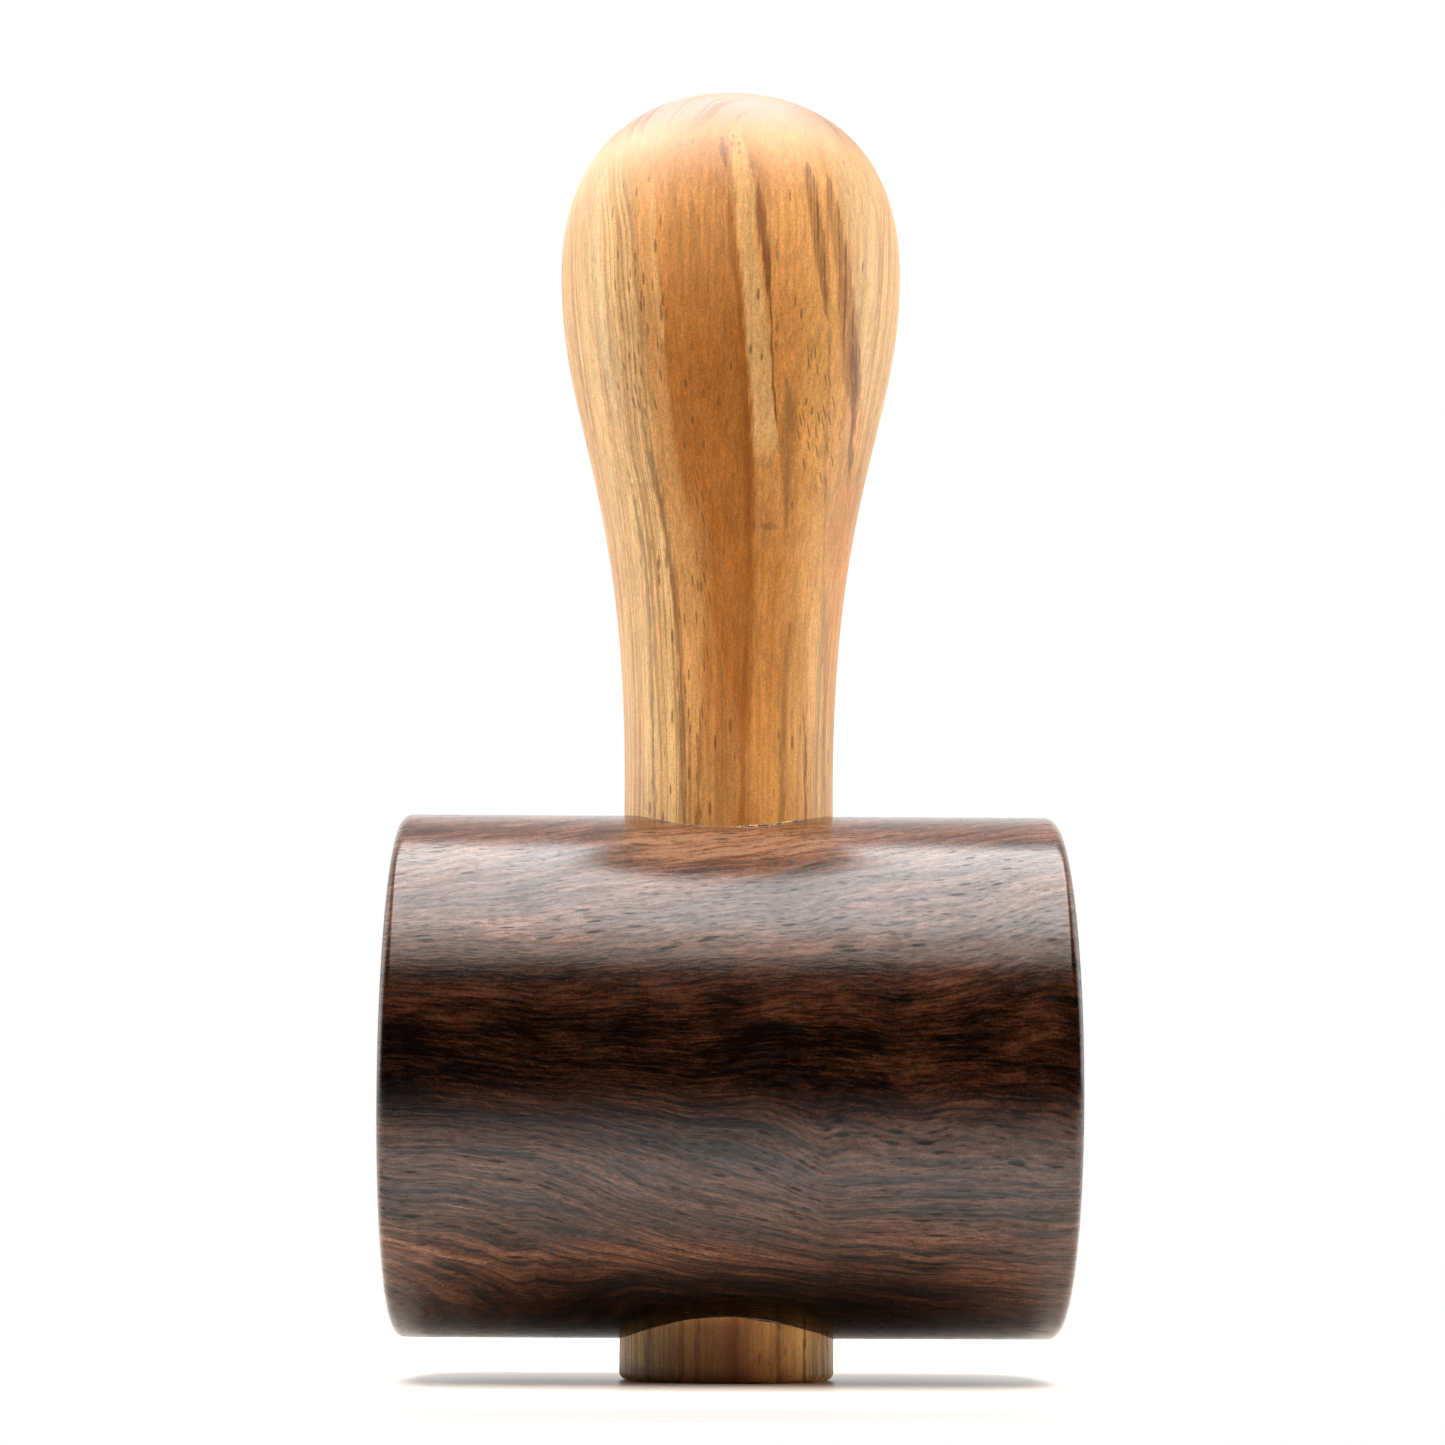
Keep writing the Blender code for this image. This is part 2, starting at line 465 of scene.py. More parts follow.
    def vein(self, across, height, path, softness):
        """1 inside a streak, else 0. The path is (height, middle, half width) points."""
        middle = self.curve(height, [(place, value) for place, value, _ in path])
        half = self.curve(height, [(place, value) for place, _, value in path])
        half = self.math("MAXIMUM", half, 0.001)
        offset = self.math("DIVIDE", self.away(across, middle), half)
        inside = self.step(offset, 1.0 - softness, 1.0 + softness * 0.4, 1.0, 0.0)
        return self.product(inside, self.step(half, 0.03, 0.2))

    def side_of(self, across, height, path, softness):
        """0 left of a boundary and 1 right of it. The path is (height, boundary) points."""
        offset = self.math("SUBTRACT", across, self.curve(height, path))
        return self.step(offset, -softness, softness)

    def patch(self, x, z, middle, reach):
        """1 in the middle of an oval on the front, 0 outside it."""
        right = self.math("DIVIDE", self.math("SUBTRACT", x, middle[0]), reach[0])
        up = self.math("DIVIDE", self.math("SUBTRACT", z, middle[1]), reach[1])
        far = self.sum(self.product(right, right), self.product(up, up))
        return self.step(far, 0.0, 1.0, 1.0, 0.0)

    def patches(self, start, x, z, front, places):
        """Adds to a value in ovals on the front: (middle, reach, amount)."""
        for middle, reach, amount in places:
            oval = self.patch(x, z, middle, reach)
            start = self.sum(start, self.product(oval, front, amount))
        return start


def new_material(name):
    return Tree(bpy.data.materials.new(name))


# ---------------------------------------------------------------- the handle's wood

# Linear colours
CREAM = (0.64, 0.385, 0.158)
PALE = (0.84, 0.470, 0.165)
TAN = (0.62, 0.298, 0.090)
HONEY = (0.63, 0.295, 0.072)
MID = (0.62, 0.250, 0.056)
CORE = (0.50, 0.172, 0.027)
DEEP = (0.33, 0.097, 0.013)
VEIN = (0.23, 0.085, 0.022)
BROWN = (0.42, 0.185, 0.055)
GOLD = (0.50, 0.235, 0.062)
PALE_GOLD = (0.70, 0.375, 0.115)
SHADOW = (0.34, 0.125, 0.032)
BRIGHT_CREAM = (0.78, 0.530, 0.260)
# Painted light on the knob: the crown colours are a painted shade that darkens its top, and the dome
# colours a painted highlight that pales the band below it; the right ones are warmer
CROWN_PAINTED_SHADE = (0.30, 0.200, 0.160)
CROWN_RIGHT_PAINTED_SHADE = (0.27, 0.150, 0.082)
DOME_PAINTED_HIGHLIGHT = (0.66, 0.430, 0.275)
DOME_RIGHT_PAINTED_HIGHLIGHT = (0.64, 0.395, 0.205)
END_BROWN = (0.17, 0.090, 0.040)

# Where the rings are centred, seen from above, and where heart and sapwood meet: millimetres
PITH = (14.6, -64.0)
HEART_RING = 50.7
SAP_RING = 54.0

# Streaks on the front: (height, middle, half width), in millimetres
PALE_STREAK = [
    (190, 0.0, 0.8), (183, 0.7, 1.3), (171, 1.8, 1.5), (157, 3.25, 1.55),
    (144, 4.65, 1.7), (137, 5.1, 1.85), (120, 5.5, 2.1),
]
STREAK_SHADOW = [
    (177, 3.6, 0.0), (174, 3.9, 0.6), (169, 4.4, 0.9), (165, 4.9, 0.6),
    (160, 5.1, 0.28), (150, 5.7, 0.25), (144, 6.2, 0.28), (138, 6.9, 0.0),
]
STREAK_BROWN = [
    (148, 8.0, 0.0), (143, 8.6, 1.2), (138, 8.4, 1.3), (132, 8.2, 0.8), (124, 8.0, 0.0),
]
CORE_EDGE = [
    (176, -0.6, 0.0), (168, -0.2, 0.7), (157, 1.3, 0.8), (144, 2.3, 1.0), (137, 2.4, 1.0),
    (125, 2.4, 0.8), (110, 2.5, 0.7), (96, 2.0, 0.8), (0, 1.1, 0.8),
]
INNER_DARK = [
    (181, 10.8, 0.0), (178, 11.4, 1.0), (170, 12.7, 1.3), (164, 13.5, 1.05),
    (160, 14.0, 0.55), (156, 14.1, 0.0),
]
OUTER_DARK = [
    (180, 14.0, 0.0), (175, 15.2, 1.0), (169, 16.1, 1.1), (164, 16.8, 1.3), (159, 17.3, 1.7),
    (153, 18.0, 1.5), (148, 18.2, 1.3), (145, 18.6, 0.8), (141, 18.5, 0.45),
    (134, 18.0, 0.3), (128, 17.9, 0.0),
]
THIN_PALE = [
    (178, -12.0, 0.0), (174, -12.1, 0.5), (165, -11.8, 0.45), (157, -10.9, 0.6),
    (152, -10.3, 0.0),
]
DARK_FLECK = [(184.5, -2.0, 0.0), (182.5, -1.8, 0.6), (180.5, -1.5, 0.6), (178.5, -1.2, 0.0)]
DOME_STREAK = [
    (192.0, 7.0, 0.0), (189.5, 9.5, 0.7), (186.0, 12.3, 0.8), (182.0, 13.6, 0.7),
    (178.0, 14.4, 0.4),
]
CROWN_FLECK = [(193.5, 2.5, 0.0), (191.0, -1.0, 1.0), (189.0, -3.2, 1.0), (187.5, -4.0, 0.0)]
LEFT_CREAM = [
    (184, -18.9, 0.0), (176, -20.3, 0.8), (168, -20.6, 1.0), (158, -19.8, 0.9),
    (148, -18.0, 0.6), (140, -16.5, 0.0),
]
LEFT_LINE = [
    (150, -14.9, 0.0), (142, -13.3, 0.35), (137, -12.3, 0.55), (125, -9.6, 0.6),
    (110, -7.8, 0.6), (96, -7.1, 0.5), (0, -6.9, 0.5),
]
FAR_LEFT_LINE = [
    (140, -17.6, 0.0), (125, -13.4, 0.35), (110, -12.2, 0.4), (96, -11.6, 0.3), (0, -11.2, 0.4),
]
LOW_LEFT_LINE = [(101, -4.8, 0.0), (92, -4.7, 0.3), (84, -4.7, 0.35), (0, -4.2, 0.35)]
LOW_RIGHT_STREAK = [
    (114, 9.3, 0.0), (104, 8.4, 0.6), (95, 7.8, 0.7), (84, 7.6, 0.7), (0, 7.4, 0.6),
]
LOW_RIGHT_LINE = [(102, 10.9, 0.0), (94, 11.3, 0.3), (84, 11.4, 0.35), (0, 11.5, 0.3)]
RIGHT_BROWN = [
    (138, 19.0, 0.0), (130, 17.6, 1.3), (118, 16.7, 1.9), (108, 16.3, 1.4), (99, 15.9, 0.8),
    (93, 15.9, 0.0),
]

# In the order they are laid down: path, tint, strength, softness of the edge
STREAKS = (
    (LEFT_CREAM, BRIGHT_CREAM, 0.8, 0.8),
    (CORE_EDGE, DEEP, 0.6, 1.0),
    (PALE_STREAK, PALE, 1.0, 0.35),
    (STREAK_SHADOW, SHADOW, 1.0, 0.8),
    (STREAK_BROWN, BROWN, 0.8, 1.0),
    (THIN_PALE, PALE, 0.95, 0.6),
    (INNER_DARK, VEIN, 1.0, 0.45),
    (OUTER_DARK, VEIN, 1.0, 0.45),
    (DARK_FLECK, VEIN, 0.9, 0.6),
    (DOME_STREAK, BROWN, 0.7, 0.8),
    (CROWN_FLECK, BROWN, 0.45, 0.9),
    (LEFT_LINE, VEIN, 0.62, 0.8),
    (FAR_LEFT_LINE, VEIN, 0.55, 0.8),
    (LOW_LEFT_LINE, VEIN, 0.6, 0.8),
    (LOW_RIGHT_STREAK, BROWN, 0.85, 0.9),
    (LOW_RIGHT_LINE, VEIN, 0.75, 0.7),
    (RIGHT_BROWN, MID, 0.8, 1.0),
)

# The wide dark streaks are made of strands
STRANDED = (INNER_DARK, OUTER_DARK, DOME_STREAK, CROWN_FLECK)

# A tiny knot below the pale streak: middle (x, z), reach
KNOT = ((5.2, 125.6), (2.0, 0.7))

# The way the flecks beside the left line lean: (height, x)
LEFT_LEAN = [(175, -14.9)] + [(height, middle) for height, middle, _ in LEFT_LINE]

# Where the tone changes from left to right across the front: (height, boundary)
MID_EDGE = [(197, 2.0), (170, 2.4), (157, 3.0), (144, 3.5), (125, 3.3), (85, 2.8), (0, 2.6)]
HONEY_EDGE = [
    (197, 8.0), (170, 10.0), (150, 10.5), (125, 10.8), (110, 9.2), (85, 5.0), (0, 5.0),
]
CREAM_EDGE = [
    (197, 12.0), (181, 15.0), (170, 17.2), (157, 18.8), (147, 19.6), (137, 22.0), (125, 25.0),
    (0, 25.0),
]

# How much the heart wood is painted lighter or darker with height: painted light on its upper front,
# painted shade towards the crown
HEART_PAINTED_LIGHT = [
    (84, 1.0), (150, 1.0), (158, 1.10), (166, 1.22), (174, 1.30), (182, 1.12), (190, 0.9),
    (198, 0.8),
]

# Painted light: how much lighter the front is painted than the sides, with height
FRONT_PAINTED_LIGHT = [
    (0, 0.0), (80, 0.10), (95, 0.18), (115, 0.22), (145, 0.22), (158, 0.15), (168, 0.05),
    (178, 0.0), (198, 0.0),
]

# Lighter (+) and darker (-) places on the front, most of them the wood's own tone: middle (x, z),
# reach, amount
FRONT_TONE_AND_LIGHT_PATCHES = (
    ((6.5, 148.0), (6.0, 12.0), 0.16),
    ((13.2, 138.0), (3.8, 7.0), 0.20),
    ((4.6, 142.0), (3.0, 8.0), 0.15),
    ((-1.5, 100.0), (3.4, 24.0), -0.14),
    ((-1.0, 178.0), (6.0, 7.0), -0.10),
    ((-15.5, 172.0), (7.0, 17.0), 0.30),
    ((-10.9, 121.0), (4.5, 9.0), 0.16),
    ((3.8, 100.0), (3.2, 26.0), 0.14),
    ((-10.5, 90.0), (4.5, 14.0), 0.16),
    ((9.7, 101.0), (2.8, 22.0), -0.18),
    # Painted light on the right and left edges of the tenon's end
    ((14.5, 4.0), (7.5, 8.0), 1.15),
    ((-14.8, 5.0), (5.0, 8.0), 0.6),
    ((17.5, 131.0), (4.5, 10.0), -0.18),
    ((2.8, 175.5), (4.0, 8.0), -0.24),
)

# Places on the front with a tone of their own: middle (x, z), reach, tint
TONE_PATCHES = (
    ((-5.6, 110.0), (3.6, 24.0), TAN),
    ((-1.8, 106.0), (3.6, 26.0), CORE),
)

# Where short dark flecks gather on the front: middle (x, z), reach, amount
FLECK_PATCHES = (
    ((-5.2, 113.0), (3.2, 24.0), 3.0),
    ((-12.5, 151.0), (4.0, 13.0), 3.0),
    ((13.0, 143.0), (4.0, 13.0), 3.0),
)


def handle_place(tree):
    """Where a point of the handle is. Apart from x, y and z that is u, which is x measured
    across the swaying grain, its growth ring, and front, which is 1 on the camera's side."""
    where = tree.place()
    x, y, z = tree.split(where)
    wander = tree.noise(where, (0.22, 0.22, 0.022), detail=1.0)
    u = tree.sum(x, tree.product(tree.affine(wander, 3.2, -1.6), 0.55))
    east = tree.math("SUBTRACT", x, PITH[0])
    north = tree.math("SUBTRACT", y, PITH[1])
    slow = tree.noise(where, (0.11, 0.11, 0.018), detail=1.0)
    ring = tree.sum(
        tree.distance(tree.join(east, north, 0.0)),
        tree.step(z, 134.0, 158.0, 0.0, 2.6),
        tree.step(z, 168.0, 200.0, 0.0, -10.0),
        tree.affine(slow, 3.4, -1.7),
    )
    front = tree.step(y, -6.0, 0.0, 1.0, 0.0)
    return SimpleNamespace(where=where, x=x, y=y, z=z, u=u, ring=ring, front=front)


def handle_tone(tree, at):
    """The main colours: orange heart in front, pale sapwood at the sides and back, with painted
    light on the front and on the edges of the tenon's end.
    """
    u, z = at.u, at.z
    heart = tree.mix(tree.side_of(u, z, MID_EDGE, 0.9), CORE, MID)
    heart = tree.mix(tree.side_of(u, z, HONEY_EDGE, 2.2), heart, HONEY)
    heart = tree.mix(tree.product(tree.step(z, 150.0, 170.0), 0.55), heart, TAN)
    # Painted light on the upper heart, painted shade towards the crown
    heart = tree.shade(heart, tree.curve(z, HEART_PAINTED_LIGHT, 4.0))
    colour = tree.mix(tree.step(at.ring, HEART_RING - 0.9, HEART_RING + 0.9), heart, TAN)
    colour = tree.mix(tree.step(at.ring, SAP_RING - 0.8, SAP_RING + 0.8), colour, CREAM)
    for middle, reach, tint in TONE_PATCHES:
        oval = tree.patch(at.x, z, middle, reach)
        colour = tree.mix(tree.product(oval, at.front, 0.8), colour, tint)
    low_right = tree.product(tree.step(u, 7.0, 10.0), tree.step(z, 128.0, 142.0, 1.0, 0.0))
    colour = tree.mix(tree.product(low_right, 0.8), colour, HONEY)
    colour = tree.mix(tree.side_of(u, z, CREAM_EDGE, 1.0), colour, CREAM)
    colour = neck_tone_and_painted_light(tree, colour, at)
    # Painted light on the front, and the lighter and darker patches
    painted_light_facing = tree.step(at.y, -7.0, -12.0)
    painted_light_and_tone = tree.sum(1.0, tree.product(painted_light_facing, tree.curve(z, FRONT_PAINTED_LIGHT, 4.0)))
    return tree.shade(colour, tree.patches(painted_light_and_tone, at.x, z, at.front, FRONT_TONE_AND_LIGHT_PATCHES))


def neck_tone_and_painted_light(tree, colour, at):
    """The neck gets painted light on both sides of the heart towards the head, against the shade the
    head casts there, and is golden along its right edge.
    """
    x, z = at.x, at.z
    left = tree.product(tree.step(at.u, -3.5, -7.0), tree.step(z, 128.0, 92.0))
    right = tree.product(tree.step(at.u, 3.0, 6.5), tree.step(z, 106.0, 88.0))
    # Painted light near the head, against the head's shade
    painted_light_near_head = tree.sum(1.0, tree.product(left, 0.25), tree.product(right, 0.22))
    colour = tree.shade(colour, painted_light_near_head)
    tall = tree.product(tree.step(z, 150.0, 134.0), tree.step(z, 84.0, 100.0))
    edge = tree.product(tree.step(x, 11.0, 16.5), tall, 0.75)
    colour = tree.mix(edge, colour, GOLD)
    rim = tree.product(tree.step(x, 11.4, 12.8), tree.step(z, 122.0, 108.0), at.front)
    return tree.mix(tree.product(rim, 0.8), colour, PALE_GOLD)


def growth_lines(tree, colour, at):
    """Broad soft bands and thin crisp lines along the rings, strongest in the sapwood."""
    bands = tree.noise(tree.join(at.ring, 0.0, at.z), (0.8, 1.0, 0.005), 3.0, 0.6)
    lines = tree.noise(tree.join(at.ring, 5.0, at.z), (0.62, 1.0, 0.004), 2.0, 0.6)
    thin = tree.step(tree.away(lines, 0.5), 0.034, 0.012)
    sap = tree.step(at.ring, SAP_RING - 1.5, SAP_RING + 1.0, 0.30, 1.0)
    colour = tree.mix(tree.product(tree.step(bands, 0.48, 0.60), sap, 0.42), colour, TAN)
    colour = tree.mix(tree.product(tree.step(bands, 0.46, 0.38), sap, 0.45), colour, PALE)
    return tree.mix(tree.product(thin, sap, 0.60), colour, BROWN)


def handle_streaks(tree, colour, at):
    """The single streaks that the photo shows on the front."""
    z = at.z
    ragged = tree.noise(tree.join(at.u, 0.0, z), (1.6, 1.0, 0.09), detail=4.0, roughness=0.6)
    strands = tree.noise(tree.join(at.u, 0.0, z), (2.2, 1.0, 0.03))
    feather = tree.noise(tree.join(at.u, 3.0, z), (2.4, 1.0, 0.30))
    across = tree.sum(at.u, tree.affine(ragged, 1.1, -0.55), tree.affine(feather, 1.0, -0.5))
    uneven = tree.product(
        tree.step(ragged, 0.35, 0.65, 1.0, 0.8),
        tree.step(strands, 0.42, 0.58, 1.0, 0.58),
        tree.step(feather, 0.50, 0.62, 1.0, 0.75),
    )
    fading = tree.product(
        tree.step(z, 134.0, 139.5, 0.15, 1.0),
        tree.step(z, 120.0, 130.0),
        tree.step(z, 189.0, 179.0),
    )
    for path, tint, strength, softness in STREAKS:
        share = tree.product(tree.vein(across, z, path, softness), at.front, strength)
        if path in STRANDED:
            share = tree.product(share, uneven)
        if path is PALE_STREAK:
            share = tree.product(share, fading)
            tint = tree.shade(tint, tree.step(z, 152.0, 142.0, 1.0, 1.22))
        colour = tree.mix(share, colour, tint)
    knot = tree.product(tree.patch(at.u, z, *KNOT), at.front, 0.45)
    return tree.mix(knot, colour, VEIN)


def handle_fibres(tree, colour, where):
    """Mottle, streaks, fibres and speckle. Returns the colour, and the long and short fibres."""
    mottle = tree.noise(where, (0.30, 0.30, 0.07), detail=3.0)
    streaks = tree.noise(where, (0.9, 0.9, 0.016), detail=3.0, roughness=0.6)
    long_fibres = tree.noise(where, (1.8, 1.8, 0.030), detail=4.0, roughness=0.7)
    short_fibres = tree.noise(where, (3.0, 3.0, 0.35), detail=3.0, roughness=0.7)
    speckle = tree.noise(where, (4.0, 4.0, 3.4), detail=2.0, roughness=0.7)
    colour = tree.shade(colour, tree.spread(streaks, 0.20, 0.91, 1.08))
    colour = tree.shade(colour, tree.spread(mottle, 0.25, 0.91, 1.08))
    colour = tree.shade(colour, tree.spread(long_fibres, 0.20, 0.92, 1.07))
    colour = tree.shade(colour, tree.spread(short_fibres, 0.20, 0.90, 1.09))
    return tree.grey(colour, tree.spread(speckle, 0.16, 0.86, 1.12)), long_fibres, short_fibres


def handle_pores(tree, colour, at):
    """Short dark dashes along the grain, in loose groups and in a few places on the front, and
    many fine ones. Returns the colour, and the larger dashes."""
    groups = tree.step(tree.noise(at.where, (0.16, 0.16, 0.045), detail=1.0), 0.48, 0.62)
    loose = tree.product(tree.dashes(at.where, (1.05, 1.05, 0.21), 0.30, 0.5), groups)
    flecked = tree.patches(0.0, at.x, at.z, at.front, FLECK_PATCHES)
    flecked = tree.math("MINIMUM", flecked, 1.0)
    leaning = tree.math("SUBTRACT", at.x, tree.curve(at.z, LEFT_LEAN))
    flat = tree.join(leaning, at.z, 0.0)
    flecks = tree.product(tree.dashes(flat, (1.7, 0.22, 1.0), 0.25, 0.42, "2D"), flecked)
    dash = tree.math("MAXIMUM", loose, flecks)
    colour = tree.mix(tree.product(dash, 0.75), colour, VEIN)
    fine_dash = tree.dashes(at.where, (2.2, 2.2, 0.42), 0.32, 0.45)
    return tree.mix(tree.product(fine_dash, 0.22), colour, DEEP), dash


def lathe_rings(tree, colour, at):
    """Faint rings left by the lathe on the left shoulder of the knob."""
    height = tree.affine(at.x, 0.10, at.z)
    rings = tree.step(tree.math("SINE", tree.product(height, 7.0)), 0.6, 1.0)
    worn = tree.product(rings, tree.patch(at.x, at.z, (-7.0, 183.0), (11.0, 3.5)), at.front)
    return tree.mix(tree.product(worn, 0.35), colour, BROWN)


def dome_grain_and_painted_light(tree, colour, at):
    """Painted light on the dome: a paler, pinker band round it, paler on the left, is painted
    highlight; a greyer crown and a darker right shoulder are painted shade. Thin end-grain lines
    cross the crown.
    """
    x, z = at.x, at.z
    # Painted highlight on the dome, paler on the left
    painted_left_highlight = tree.product(tree.step(x, -3.0, -14.0), tree.step(z, 168.0, 180.0), 0.28)
    warm_side = tree.step(x, 3.0, 19.0)
    painted_dome_highlight = tree.sum(tree.step(z, 174.0, 186.0, 0.0, 0.45), painted_left_highlight)
    colour = tree.mix(painted_dome_highlight, colour, tree.mix(warm_side, DOME_PAINTED_HIGHLIGHT, DOME_RIGHT_PAINTED_HIGHLIGHT))
    # Painted shade on the crown, against the light from above
    crown = tree.step(z, 184.0, 191.5, 0.0, 0.85)
    colour = tree.mix(crown, colour, tree.mix(warm_side, CROWN_PAINTED_SHADE, CROWN_RIGHT_PAINTED_SHADE))
    lines = tree.noise(tree.join(at.ring, 8.0, at.u), (0.9, 1.0, 0.05), 3.0, 0.6)
    lines = tree.product(tree.step(lines, 0.50, 0.62), tree.step(z, 185.0, 191.0))
    colour = tree.mix(tree.product(lines, 0.55), colour, END_BROWN)
    # Painted shade on the right shoulder of the knob
    shoulder = tree.product(tree.step(x, 6.0, 20.0), tree.step(z, 174.0, 187.0))
    return tree.shade(colour, tree.affine(shoulder, -0.28, 1.0))


def foot_painted_shade(tree, colour, at):
    """Painted shade on the end of the tenon, which stands under the head: darkest on the left and
    along its lowest edge.
    """
    x, z = at.x, at.z
    left = tree.product(
        tree.step(z, 10.5, 7.5),
        tree.step(x, 1.0, 5.0, 0.68, 0.0),
        tree.step(x, -15.0, -11.0, 0.5, 1.0),
    )
    # Painted shade along the tenon's lowest edge
    painted_low_edge_shade = tree.product(tree.step(z, 5.5, 0.6), tree.step(x, 1.0, 8.0, 1.0, 0.15))
    share = tree.math("MAXIMUM", left, painted_low_edge_shade)
    return tree.mix(share, colour, tree.shade(colour, 0.30))


def fruitwood():
    """The handle: a honey-coloured wood, sawn from beside the heart of a log."""
    tree = new_material("fruitwood")
    at = handle_place(tree)
    colour = handle_tone(tree, at)
    colour = growth_lines(tree, colour, at)
    colour = handle_streaks(tree, colour, at)
    colour, long_fibres, short_fibres = handle_fibres(tree, colour, at.where)
    colour, dash = handle_pores(tree, colour, at)
    colour = lathe_rings(tree, colour, at)
    colour = dome_grain_and_painted_light(tree, colour, at)
    colour = foot_painted_shade(tree, colour, at)
    shine = tree.step(at.z, 172.0, 188.0, 0.32, 0.18)
    tree.feed(tree.shader.inputs["Specular IOR Level"], shine)
    roughness = tree.affine(long_fibres, 0.16, 0.38)
    fibres = tree.sum(tree.product(long_fibres, 0.5), tree.product(short_fibres, 0.4))
    relief = tree.sum(fibres, tree.product(dash, -0.3))
    return tree.finish(colour, roughness, relief, 0.00004, 0.6)


# ---------------------------------------------------------------- the head's wood

# Linear colours
BLACKISH = (0.0032, 0.0009, 0.0003)
UMBER = (0.028, 0.0080, 0.0024)
RUSSET = (0.070, 0.0230, 0.0085)
TAWNY = (0.140, 0.0500, 0.0200)
SANDY = (0.240, 0.1150, 0.0580)

# How much paler (+) or darker (-) the front of the head gets with height: painted shade low down on
# the underside, painted light at the top edge, and the wood's own dark belt near 50 mm
HEAD_TONE_AND_PAINTED_LIGHT = [
    (6, -0.28), (12, -0.22), (16, 0.01), (20, 0.11), (27, 0.06), (34, 0.02), (39, -0.10),
    (44, -0.21), (50, -0.24), (55, -0.13), (60, -0.03), (65, 0.11), (70, 0.15), (76, 0.17),
    (84, 0.34),
]

# Darker (-) and brighter (+) places on the front of the head, most of them the wood's own figure:
# middle (x, z), reach, amount
HEAD_TONE_AND_LIGHT_PATCHES = (
    ((1.0, 49.5), (6.0, 8.0), -0.08),
    ((12.0, 45.0), (9.0, 6.0), 0.05),
    ((-20.0, 51.5), (12.0, 4.5), 0.12),
    ((-12.0, 60.0), (17.0, 2.6), -0.14),
    ((36.0, 55.5), (16.0, 4.0), 0.06),
    ((-45.5, 44.0), (5.0, 9.0), -0.18),
    ((-43.0, 31.5), (6.0, 7.0), -0.06),
    ((-24.0, 23.0), (9.0, 4.5), -0.10),
    ((-39.0, 52.0), (10.0, 5.5), 0.18),
    ((-7.0, 49.0), (6.5, 5.5), 0.16),
    ((9.5, 54.0), (10.0, 4.5), 0.18),
    ((24.0, 45.5), (5.5, 4.5), 0.15),
    ((41.0, 48.0), (7.0, 7.5), 0.15),
    ((-29.0, 64.0), (12.0, 2.2), 0.14),
    ((-20.0, 19.0), (26.0, 2.4), 0.12),
    # Painted light where the handle keeps the top highlight off the head
    ((0.0, 77.5), (25.0, 6.0), 0.30),
    ((-34.0, 46.0), (18.0, 16.0), -0.06),
    ((33.0, 38.0), (20.0, 10.0), 0.07),
    # Painted reflection of the floor on the lower ends of the head
    ((45.0, 12.0), (20.0, 9.0), 0.17),
    ((-45.0, 10.0), (16.0, 8.0), 0.11),
    ((-39.0, 26.0), (8.0, 4.5), 0.11),
    ((-6.0, 59.0), (10.0, 3.0), -0.08),
    ((-6.0, 43.5), (7.0, 4.5), -0.10),
    ((36.0, 54.0), (22.0, 6.0), 0.14),
    ((27.0, 15.0), (9.0, 4.5), 0.08),
    # Painted shade under the middle of the head, beside the tenon
    ((0.0, 11.5), (28.0, 6.5), -0.16),
    ((-5.0, 18.5), (15.0, 4.0), 0.08),
)


def head_flow(tree, where, x, z):
    """How far the grain has drifted up or down at this place, in millimetres."""
    upper = tree.product(x, tree.step(z, 44.0, 72.0, 0.0, 0.17))
    middle = tree.math("MAXIMUM", tree.sum(x, 8.0), -19.0)
    middle = tree.math("MINIMUM", middle, 21.0)
    belly = tree.product(middle, tree.step(z, 47.0, 27.0, 0.0, -0.34), tree.step(z, 3.0, 22.0))
    left = tree.product(tree.sum(x, 24.0), tree.step(x, -12.0, -34.0, 0.0, -0.12))
    left = tree.product(left, tree.step(z, 68.0, 46.0))
    arch = tree.step(tree.away(x, 2.0), 6.0, 34.0, 4.2, 0.0)
    arch = tree.product(arch, tree.step(z, 28.0, 10.0))
    drift = tree.affine(tree.noise(where, (0.040, 0.030, 0.024), detail=1.0), 4.5, -2.25)
    ripple = tree.affine(tree.noise(where, (0.12, 0.08, 0.07), detail=1.0), 1.4, -0.7)
    return tree.sum(upper, belly, left, arch, drift, ripple)


def head_place(tree):
    """Where a point of the head is. Apart from x and z that is grain, which is the place with
    its drift taken out, arcs, which has the growth ring in place of the height, and front,
    which is 1 on the camera's side."""
    where = tree.place()
    x, y, z = tree.split(where)
    height = tree.math("SUBTRACT", z, head_flow(tree, where, x, z))
    grain = tree.join(x, y, height)
    ring = tree.distance(tree.join(0.0, tree.sum(y, 30.0), tree.sum(height, 80.0)))
    arcs = tree.join(x, y, ring)
    front = tree.step(y, -14.0, -4.0, 1.0, 0.0)
    return SimpleNamespace(where=where, x=x, z=z, grain=grain, arcs=arcs, front=front)


